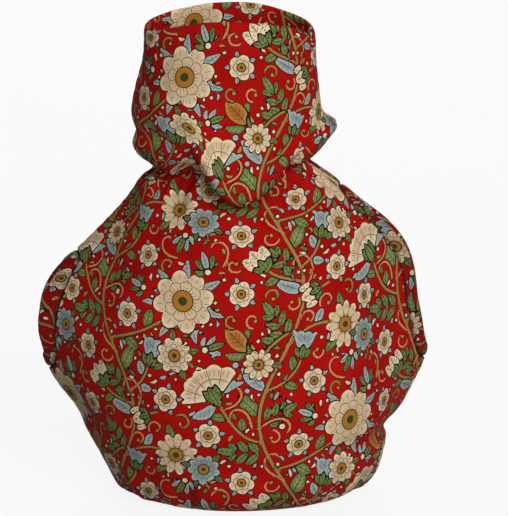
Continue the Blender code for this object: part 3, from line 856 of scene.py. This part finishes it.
def panel_grid(front, columns, clear, depth):
    """(row numbers, angles, depths) over a panel, from its left edge as seen from outside to its right.

    Inside its edges the rows and the angles are even, and near each edge they ease into the edge's own.
    """
    middle = middle_rows()
    share = np.linspace(0, 1, columns + 1)[1:-1]
    ends = (math.pi, TAU) if front else (0.0, math.pi)
    places = np.repeat(middle[:, None], len(share), 1)
    angles = ends[0] + (ends[1] - ends[0]) * share
    edges = []
    for opening, end, near in zip(OPENINGS[:: 1 if front else -1], ends, (1 - share, share)):
        lines = [edge_of(opening, apart) for apart in clear]
        edge = np.stack([np.stack([p, angle_at(p, y, opening.side, front)]) for p, y in lines], -1)
        places = places + (edge[0, :, -1] - middle)[:, None] * near**PLACE_EASE
        angles = angles + (edge[1, :, -1] - end)[:, None] * near**ANGLE_EASE
        edges.append(edge)
    left, right = edges[0], edges[1][..., ::-1]
    places = np.concatenate([left[0], places, right[0]], 1)
    angles = np.concatenate([left[1], angles, right[1]], 1)
    depths = np.concatenate([depth, np.zeros(columns - 1), depth[::-1]])
    return places, angles, np.broadcast_to(depths, places.shape)


def turned_edge(places, angles, depths, at_mouth):
    """Rows that carry the cloth over a rim in a half round and then inside, in the order of the panel's.

    They are (places, angles, depths, rises, over). The half round is as thick as the panel. over is how
    much cloth has gone past the rim.
    """
    end, way = (-1, 1.0) if at_mouth else (0, -1.0)
    rim, edge_depth = places[end], depths[-1]
    thick = thickness(rim)
    half = (thick - edge_depth) / 2
    turn = np.linspace(0, math.pi, TURN_STEPS + 1)[1:, None]
    inward = np.linspace(0, 1, TURN_ROWS + 1)[1:, None]
    far = place_of(MOUTH_Z - TURNED_IN) if at_mouth else TURNED_IN / HEM_ROW_LONG
    flat = np.zeros((TURN_ROWS, len(rim)))
    rows = (
        np.concatenate([rim + 0 * turn, rim + (far - rim) * inward]),
        np.broadcast_to(angles[end], (TURN_STEPS + TURN_ROWS, len(rim))),
        np.concatenate([edge_depth + half * (1 - np.cos(turn)), thick + flat]),
        np.concatenate([way * half * np.sin(turn), flat]),
        np.concatenate([half * turn, math.pi * half + TURNED_IN * inward]),
    )
    return rows if at_mouth else tuple(np.flip(r, 0) for r in rows)


def dye(red, green, blue):
    """A colour, 0 to 255 in each of its parts, as linear light: the usual curve of screens, undone."""
    share = np.array([red, green, blue]) / 255
    return tuple(np.where(share <= 0.04045, share / 12.92, ((share + 0.055) / 1.055) ** 2.4)) + (1.0,)


# Dyes of the print: the ground, the outlines, a flower's heart and eye, and for each colour its edge, its
# middle and how dark the lines inside it are.
GROUND, GROUND_WORN = dye(160, 13, 8), dye(184, 19, 13)
LINE_DYE = dye(17, 25, 21)
HEART_DYE, EYE_DYE = dye(176, 118, 40), dye(52, 70, 40)
DYES = {
    "stem": (dye(168, 122, 66), dye(186, 136, 72), 0.0),
    "curl": (dye(216, 132, 88), dye(204, 120, 78), 0.0),
    "green": (dye(114, 130, 70), dye(148, 156, 98), 0.8),
    "blue": (dye(170, 181, 176), dye(138, 152, 151), 0.55),
    "ochre": (dye(194, 134, 64), dye(170, 106, 48), 0.6),
    "cream": (dye(237, 214, 177), dye(217, 189, 151), 0.75),
}
HEART, EYE = 0.33, 0.14  # how far out a flower's heart and eye go, as shares of its size
THREAD = 0.52  # from one thread of the weave to the next
LINE_SLACK = 0.5  # how far outside a thin line its colour may still reach
WELL_INSIDE = -0.35  # veins and petals are drawn where a point lies this deep in a shape
VEIN_STEP, VEIN_THICK, RIB_THICK = 2.6, 0.17, 0.26
RAY_THICK, HAIR_THICK, HAIRS_TO_A_PETAL = 0.22, 0.15, 3.0
SEAM_SHADE = 0.85  # how strongly painted shade darkens a seam's groove, towards the outline dye
SMALL_FLOWER = 3.5  # a flower with a smaller radius is left plain
PANEL_TONE, BAND_SHADED_TONE = 1.0, 0.7  # how light the cloths are; the bindings' darker copy of the print is painted shade on their rolled edges
# How fine each unevenness of the cloth is: its lumps in a metre.
RAGGED, WORN, FIBRE, SLUB = 1400.0, 26.0, 2600.0, 900.0
# Where a flower's outer petals start and its inner ones end, and the scalloped ring between them: its least
# share of the size and how much its scallops add. Then where the hairs lie in the outer and inner petals,
# where a fan's ring lies, and the petals from which a flower has one round of them.
OUTER_FROM, INNER_TO, SCALLOP, SCALLOP_DEEP = 0.62, 0.52, 0.51, 0.12
OUTER_HAIRS, INNER_HAIRS, FAN_RING, ONE_ROUND = (0.70, 0.86), (HEART, 0.45), 0.6, 9.5


def operator(operation, swapped=False):
    """A method that works out an operation on a value and another, or on the other and the value."""
    def method(self, other):
        return self.finish.calc(operation, *((other, self) if swapped else (self, other)))
    return method


class Value:
    """A number that a material's nodes work out: arithmetic on it adds the nodes that do the arithmetic."""

    def __init__(self, finish, socket):
        self.finish, self.socket = finish, socket

    def calc(self, operation, *others):
        return self.finish.calc(operation, self, *others)

    def __abs__(self):
        return self.calc("ABSOLUTE")

    __add__, __radd__ = operator("ADD"), operator("ADD", True)
    __sub__, __rsub__ = operator("SUBTRACT"), operator("SUBTRACT", True)
    __mul__, __truediv__, __pow__ = operator("MULTIPLY"), operator("DIVIDE"), operator("POWER")
    __lt__, __gt__ = operator("LESS_THAN"), operator("GREATER_THAN")
    least, most = operator("MINIMUM"), operator("MAXIMUM")

    def within(self, low, high):
        """1 where the value lies between two others, otherwise 0."""
        return (self > low) * (self < high)


class Finish:
    """A material's nodes, made one at a time and wired as they are made."""

    def __init__(self, name):
        self.material = bpy.data.materials.new(name)
        self.material.use_nodes = True
        self.tree = self.material.node_tree

    def feed(self, node, inputs):
        for place, value in inputs.items():
            value = value.socket if isinstance(value, Value) else value
            if isinstance(value, bpy.types.NodeSocket):
                self.tree.links.new(value, node.inputs[place])
            else:
                node.inputs[place].default_value = value

    def shade(self, inputs):
        self.feed(self.tree.nodes["Principled BSDF"], inputs)

    def node(self, kind, inputs, **settings):
        made = self.tree.nodes.new(kind)
        for name, value in settings.items():
            setattr(made, name, value)
        self.feed(made, inputs)
        return made

    def value(self, kind, inputs, **settings):
        return Value(self, self.node(kind, inputs, **settings).outputs[0])

    def calc(self, operation, *values):
        return self.value("ShaderNodeMath", dict(enumerate(values)), operation=operation)

    def blend(self, share, under, over, how="MIX"):
        inputs = {0: share, 6: under, 7: over}
        return self.node("ShaderNodeMix", inputs, data_type="RGBA", blend_type=how).outputs[2]

    def read(self, attribute, output="Fac"):
        return Value(self, self.node("ShaderNodeAttribute", {}, attribute_name=attribute).outputs[output])

    def parts(self, vector):
        return [Value(self, part) for part in self.node("ShaderNodeSeparateXYZ", {0: vector}).outputs]

    def noise(self, place, scale, detail=2.0, roughness=0.5):
        inputs = {"Vector": place, "Scale": scale, "Detail": detail, "Roughness": roughness}
        return self.value("ShaderNodeTexNoise", inputs)

    def spread(self, value, low, high, start=0.3, stop=0.7):
        """A value from start to stop, the usual span of a noise, turned into one from low to high."""
        return self.value("ShaderNodeMapRange", {0: value, 1: start, 2: stop, 3: low, 4: high})


class Flower:
    """A place in a flower or a fan, by the motif attribute: along and across it, its petals and its size."""

    def __init__(self, cloth):
        self.along, self.across, code = cloth.parts(cloth.read("motif", "Vector"))
        self.is_leaf = abs(code) < 0.5
        self.is_fan = code < -0.5
        self.petals = abs(code).calc("FLOOR").most(1.0)
        self.size = (abs(code).calc("FRACT") * 100.0).most(0.1)
        self.far = (self.along**2.0 + self.across**2.0).calc("SQRT")
        self.out = self.far / self.size
        self.is_flower = (code > 0.5) * (self.size > SMALL_FLOWER)
        turn = self.across.calc("ARCTAN2", self.along) * (self.petals * 0.5)
        self.edge, self.middle = abs(turn.calc("COSINE")), abs(turn.calc("SINE"))
        self.fine = abs((turn * HAIRS_TO_A_PETAL).calc("SINE"))

    def ray(self, wave, thick=RAY_THICK, times=1.0):
        """1 on a line from the middle outwards, wherever a wave, times as fast as the petals, is near 0."""
        return wave * (self.far * (2.0 / times) / self.petals) < thick

    def hairs(self, low, high):
        """1 on the fine rays between two shares of the flower's size."""
        return self.ray(self.fine, HAIR_THICK, HAIRS_TO_A_PETAL) * self.out.within(low, high)

    def ring(self, share, thick=RAY_THICK):
        """1 on a ring at a share of the flower's size."""
        return abs(self.out - share) * self.size < thick

    def veins(self):
        """1 on a leaf's rib and on the slanting veins beside it."""
        aside = abs(self.across)
        slant = (self.along - aside * 0.8) / VEIN_STEP
        vein = abs(slant.calc("FRACT") - 0.5) * VEIN_STEP < VEIN_THICK
        return (aside < RIB_THICK).most(vein) * self.is_leaf

    def petal_lines(self):
        """1 on the lines in a flower or a fan.

        A flower has two rounds of petals parted by a scalloped ring, or one where there are ten or more.
        A fan has rays and a ring.
        """
        scallop = SCALLOP + self.middle**NOTCH_POWER * SCALLOP_DEEP
        outer = self.ray(self.edge) * (self.out > OUTER_FROM)
        inner = self.ray(self.middle) * (self.out < INNER_TO)
        folds = self.hairs(*OUTER_HAIRS)
        double = self.ring(scallop).most(outer.most(folds).most(inner))
        single = self.ray(self.edge).most(folds)
        many = self.petals > ONE_ROUND
        flower = many * single + (1.0 - many) * double
        flower = flower.most(self.hairs(*INNER_HAIRS)) * self.is_flower
        return flower.most(single.most(self.ring(FAN_RING)) * self.is_fan)


def printed_cotton(name, shaded_tone):
    """Woven cotton with the print: each colour inside its own outline, veined or rayed by its shape.

    The last argument is how light the whole cloth is, as a share: below 1 it is painted shade over the whole
    cloth.
    """
    cloth = Finish(name)
    lay_of = cloth.node("ShaderNodeUVMap", {}, uv_map="cloth").outputs[0]
    ragged = cloth.spread(cloth.noise(lay_of, RAGGED, 1.0), -0.05, 0.05)
    fields = {layer: cloth.read(layer) for layer in LAYERS}
    by_a_line = cloth.read("lines") - LINE_SLACK
    for layer in LINE_LAYERS:
        fields[layer] = (abs(fields[layer]) - LINE_MIDDLE).most(by_a_line)
    fields = {layer: field + ragged for layer, field in fields.items()}
    near = fields[LAYERS[0]]
    for layer in LAYERS[1:]:
        near = near.least(fields[layer])
    flower = Flower(cloth)
    lines = flower.veins().most(flower.petal_lines())
    well_inside = near < WELL_INSIDE
    lines = lines * well_inside

    worn = cloth.spread(cloth.noise(lay_of, WORN, 4.0, 0.6), 0.0, 1.0)
    colour = cloth.blend(worn, GROUND, GROUND_WORN)
    colour = cloth.blend(near.within(0.0, OUTLINE), colour, LINE_DYE)
    for layer in LAYERS:
        edge, middle, ink = DYES[layer]
        inside = fields[layer] < 0.0
        fill = cloth.blend(cloth.spread(fields[layer], 0.0, 1.0, -0.5, -2.2), edge, middle)
        if ink:
            fill = cloth.blend(lines * ink, fill, LINE_DYE)
        colour = cloth.blend(inside, colour, fill)
    open_flower = flower.is_flower * well_inside
    for share, dye_of_it in ((HEART, HEART_DYE), (EYE, EYE_DYE)):
        colour = cloth.blend((flower.out < share) * open_flower, colour, dye_of_it)
    colour = cloth.blend(flower.ring(HEART, 0.25) * open_flower, colour, LINE_DYE)
    # the fibre's random tone, times the painted shade that darkens the bindings' whole copy of the print
    fibre = cloth.spread(cloth.noise(lay_of, FIBRE, 2.0), 0.93 * shaded_tone, 1.05 * shaded_tone)
    grey = cloth.node("ShaderNodeCombineColor", {0: fibre, 1: fibre, 2: fibre}).outputs[0]
    colour = cloth.blend(1.0, colour, grey, "MULTIPLY")
    # painted shade: the groove of each seam is darkened towards the outline dye by the seam attribute
    colour = cloth.blend(cloth.read("seam") * SEAM_SHADE, colour, LINE_DYE)

    round_cosy, up_cloth, _ = cloth.parts(lay_of)
    threads = TAU / (THREAD * MM)
    weave = (round_cosy * threads).calc("SINE") * (up_cloth * threads).calc("SINE")
    slub = cloth.noise(lay_of, SLUB, 3.0)
    height = weave * 0.35 + slub
    bump = cloth.node("ShaderNodeBump", {"Height": height, "Strength": 0.35, "Distance": 0.00012})
    cloth.shade({
        "Base Color": colour,
        "Normal": bump.outputs[0],
        "Roughness": cloth.spread(slub, 0.78, 0.92),
        "Specular IOR Level": 0.03,
    })
    return cloth.material


def pale_floor():
    """A matt, faintly mottled white table, lit from within so that shadows on it stay faint."""
    floor = Finish("pale_floor")
    place = floor.node("ShaderNodeTexCoord", {}).outputs["Object"]
    cloudy = floor.spread(floor.noise(place, 3.0, 3.0), 0.0, 1.0)
    floor.shade({
        "Base Color": floor.blend(cloudy, dye(91, 91, 91), dye(95, 95, 95)),
        "Emission Color": (1.0, 1.0, 1.0, 1.0),
        "Emission Strength": 0.87,
        "Roughness": 0.9,
        "Specular IOR Level": 0.1,
    })
    return floor.material


# Where each piece is cut from the printed cloth, in millimetres.
FRONT_PRINT, BACK_PRINT, LINING_PRINT = (0.0, 0.0), (41.0, 27.0), (31.0, 17.0)
BAND_PRINTS = ((55.0, 20.0), (12.0, 63.0))
GROOVE_DEPTH, GROOVE_REACH = 0.15, 1.6  # how deep a panel turns in before its groove's painted shade is full, and how far over a band that painted shade reaches
BAND_STEPS, BAND_SIDES = 420, 44
BAND_SQUARENESS = 0.8, 0.6  # across the band and through it: the lower, the more its oval fills its box
BAND_PUCKER_LENGTH, BAND_PUCKER_REACH, BAND_PUCKER_HEIGHT, BAND_CROWDING = 6.8, 3.0, 0.22, 1.3
BAND_THROUGH = 4.0  # what the way through a band adds to its width, for the print


def note(mesh, name, values, kind="FLOAT", field="value"):
    """Keeps a measure of each point of a mesh, which its material reads."""
    mesh.attributes.new(name, kind, "POINT").data.foreach_set(field, values.astype(np.float32).ravel())


def grid_piece(name, points, u, v, material, inside_out=False, ring=False, seam=0.0):
    """An object from a grid of points, rows by columns, with the flat cloth's measures and its print.

    A ring is closed on itself along its rows and its columns. seam is painted shade in a seam's groove, from
    0 to 1 where it is darkest.
    """
    rows, columns = points.shape[:2]
    index = np.arange(rows * columns).reshape(rows, columns)
    if ring:
        index = np.pad(index, ((0, 1), (0, 1)), mode="wrap")
    corners = [index[:-1, :-1], index[:-1, 1:], index[1:, 1:], index[1:, :-1]]
    faces = np.stack([c.ravel() for c in corners], -1)
    if inside_out:
        faces = faces[:, ::-1]
    mesh = bpy.data.meshes.new(name)
    mesh.vertices.add(points.size // 3)
    mesh.vertices.foreach_set("co", (points * MM).astype(np.float32).ravel())
    mesh.loops.add(faces.size)
    mesh.loops.foreach_set("vertex_index", faces.astype(np.int32).ravel())
    mesh.polygons.add(len(faces))
    mesh.polygons.foreach_set("loop_start", np.arange(0, faces.size, 4, dtype=np.int32))
    mesh.update(calc_edges=True)
    mesh.shade_smooth()
    flat = np.stack([u.ravel(), v.ravel()], -1)[faces.ravel()] * MM
    mesh.uv_layers.new(name="cloth").data.foreach_set("uv", flat.astype(np.float32).ravel())
    drawing = Drawing(u, v, *PRINT)
    for layer, measure in drawing.measures().items():
        note(mesh, layer, measure)
    note(mesh, "motif", drawing.motif, "FLOAT_VECTOR", "vector")
    # the seam attribute carries the painted shade of the seams' grooves
    note(mesh, "seam", np.broadcast_to(seam, u.shape))
    mesh.materials.append(material)
    made = bpy.data.objects.new(name, mesh)
    bpy.context.scene.collection.objects.link(made)
    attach(made, "root")
    return made


def keep_to_side(points, front):
    """Keeps a panel's cloth on its own side of the seam."""
    side = -1 if front else 1
    points[..., 1] = side * np.maximum(side * points[..., 1], CLOTH_GAP / 2)
    return points


def panel_cloth(name, front, material):
    """The printed cloth of a panel: turned in at the seams and bindings, over the mouth and under the hem."""
    places, angles, depths = panel_grid(front, COLUMNS_ACROSS, *seam_columns())
    depths = np.minimum(depths, SEAM_DEPTH_SHARE * thickness(places))
    hem, mouth = (turned_edge(places, angles, depths, at_mouth) for at_mouth in (False, True))
    flat = np.zeros(places.shape)
    face = places, angles, depths, flat, flat
    place, angle, deep, rise, over = (np.concatenate(rows) for rows in zip(hem, face, mouth))
    points = keep_to_side(laid_cloth(place, angle, deep, rise), front)
    turned = ((len(hem[0]), len(mouth[0])), (0, 0))
    u, v = flat_measure(np.pad(places, turned, mode="edge"), angle)
    way = np.pad(flat, turned, constant_values=((-1, 1), (0, 0)))
    # painted shade in the groove, full where the panel has turned GROOVE_DEPTH deep into its seam
    painted_groove_shade = np.pad(np.clip(depths / GROOVE_DEPTH, 0, 1), turned)
    aside, up = FRONT_PRINT if front else BACK_PRINT
    return grid_piece(name, points, u + aside, v + up + way * over, material, seam=painted_groove_shade)


def panel_lining(name, front, material):
    """The lining of a panel, in the same print, just below the inner face and inside the turned-in edges."""
    places, angles, _ = panel_grid(front, LINING_COLUMNS, np.zeros(1), np.zeros(1))
    places = np.clip(places, LINING_FROM, LINING_TO)
    kept = np.append(True, np.abs(np.diff(places, axis=0)).max(1) > 1e-4)
    places, angles = places[kept], angles[kept]
    deep = thickness(places) - LINING_LAID_IN
    points = keep_to_side(laid_cloth(places, angles, deep, np.zeros(places.shape)), front)
    u, v = flat_measure(places, angles)
    return grid_piece(name, points, LINING_PRINT[0] - u, v + LINING_PRINT[1], material, inside_out=True)


def opening_band(name, opening, material, shift):
    """The padded band round an opening: a flat oval section carried round the loop, puckered at its seam."""
    turns = np.linspace(0, TAU, BAND_STEPS, endpoint=False)
    sides = np.linspace(0, TAU, BAND_SIDES, endpoint=False)
    turn, side = np.meshgrid(turns, sides, indexing="ij")
    share = (1 + rounded(np.cos(side), BAND_SQUARENESS[0])) / 2
    place, across = loop_point(opening, turn, opening.band * share)
    row = section_at(place)
    angle = np.arcsin(across / np.where(across >= 0, row["front"], row["back"]))
    angle = np.mod(TAU - angle, TAU) if opening.side > 0 else math.pi + angle
    thick = thickness(place)
    depth = thick / 2 - (thick + opening.swell) / 2 * rounded(np.sin(side), BAND_SQUARENESS[1])
    depth = depth - opening.flare * (1 - share) ** 1.5 * np.sin(turn) ** 2
    middle = plain_point(place[:, :1], angle[:, :1])[:, 0]
    run = lengths_along(np.concatenate([middle, middle[:1]]), 0)
    waves = (run[:-1] * np.round(run[-1] / BAND_PUCKER_LENGTH) / run[-1])[:, None]
    from_seam = (1 - share) * opening.band
    pucker = np.sin(TAU * waves + BAND_CROWDING * np.sin(4 * turn)) * np.exp(-from_seam / BAND_PUCKER_REACH)
    lift = fold_height(place, angle) * (1 - INNER_CALM * depth / thick)
    lift = lift + BAND_PUCKER_HEIGHT * pucker * np.sin(side)
    points = plain_point(place, angle) + (lift - depth)[..., None] * plain_ways(place, angle)[1]
    points[..., 2] = np.maximum(points[..., 2], 0)
    u = np.broadcast_to(run[:-1, None], turn.shape) + shift[0]
    v = (side / TAU) * 2 * (opening.band + BAND_THROUGH) + shift[1]
    # painted shade along the band's edge beside its seam's groove
    painted_groove_shade = np.clip(1 - from_seam / GROOVE_REACH, 0, 1)
    return grid_piece(name, points, u, v, material, inside_out=opening.side < 0, ring=True, seam=painted_groove_shade)


def dress():
    printed = printed_cotton("printed_cotton", PANEL_TONE)
    # the bindings get a darker copy of the print, as painted shade on their rolled edges
    shaded_print = printed_cotton("binding_cotton", BAND_SHADED_TONE)
    for front, side in ((True, "front"), (False, "back")):
        cloth = panel_cloth(f"{side}_cloth", front, printed)
        lining = panel_lining(f"{side}_lining", front, printed)
        for piece in (cloth, lining):
            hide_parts(f"{side}_panel")
    for opening, shift in zip(OPENINGS, BAND_PRINTS):
        band = opening_band(f"{opening.name}_band", opening, shaded_print, shift)
        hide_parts(f"{opening.name}_binding")


CAMERA_AWAY, CAMERA_RISE, CAMERA_TARGET = 3.0, 12.0, Vector((0.0109, 0.0, 0.1212))
SENSOR_WIDE = 36.0
FRAME_WIDE = 508 * 0.52  # millimetres across the frame at the cosy
FLOOR_REACH, FLOOR_LEVEL = 30.0, -0.0006
SKY_STRENGTH = 0.14
# The lamps: which way round from the front and how high each stands, its angular size, and its strength.
LAMPS = (("key", 18.0, 22.0, 45.0, 2.55), ("back", 180.0, 18.0, 40.0, 1.1))


def aim(name, data, toward, away, target):
    """Hangs a camera or a lamp away from a target in a direction, looking back at the target."""
    hung = bpy.data.objects.new(name, data)
    hung.location = target + away * toward
    hung.rotation_euler = (target - hung.location).to_track_quat("-Z", "Y").to_euler()
    bpy.context.scene.collection.objects.link(hung)
    return hung


def direction(turn, rise):
    """The way to a place that is a turn round from the front and a rise over the table, in degrees."""
    turn, rise = math.radians(turn), math.radians(rise)
    return Vector((math.sin(turn) * math.cos(rise), -math.cos(turn) * math.cos(rise), math.sin(rise)))


def hang_camera():
    """A long lens at the height of someone looking slightly down at a table."""
    data = bpy.data.cameras.new("camera")
    data.sensor_fit = "HORIZONTAL"
    data.sensor_width = SENSOR_WIDE
    data.lens = SENSOR_WIDE * CAMERA_AWAY / (FRAME_WIDE * MM)
    data.clip_end = 50.0
    bpy.context.scene.camera = aim("camera", data, direction(0.0, CAMERA_RISE), CAMERA_AWAY, CAMERA_TARGET)


def soft_lamp(name, turn, rise, angle, strength):
    """A broad even light from far away: it comes from a turn and a rise in degrees, with an angular size."""
    data = bpy.data.lights.new(name, "SUN")
    data.angle = math.radians(angle)
    data.energy = strength
    aim(name, data, direction(turn, rise), 2.0, Vector())


def studio():
    """A pale floor, a dim even sky, a soft lamp in front a little to the right, and a weaker one behind."""
    mesh = bpy.data.meshes.new("floor")
    sides = ((-1, -1), (1, -1), (1, 1), (-1, 1))
    mesh.from_pydata([(x * FLOOR_REACH, y * FLOOR_REACH, FLOOR_LEVEL) for x, y in sides], [], [(0, 1, 2, 3)])
    mesh.materials.append(pale_floor())
    floor = bpy.data.objects.new("floor", mesh)
    bpy.context.scene.collection.objects.link(floor)
    floor.visible_diffuse = False  # the far side of the cosy stays dark, as it would over a matt cloth
    world = bpy.data.worlds.new("sky")
    world.use_nodes = True
    sky = world.node_tree.nodes["Background"]
    sky.inputs["Color"].default_value = (1.0, 1.0, 1.0, 1.0)
    sky.inputs["Strength"].default_value = SKY_STRENGTH
    bpy.context.scene.world = world
    for lamp in LAMPS:
        soft_lamp(*lamp)
    bpy.context.scene.view_settings.view_transform = "Standard"


dress()
studio()
hang_camera()
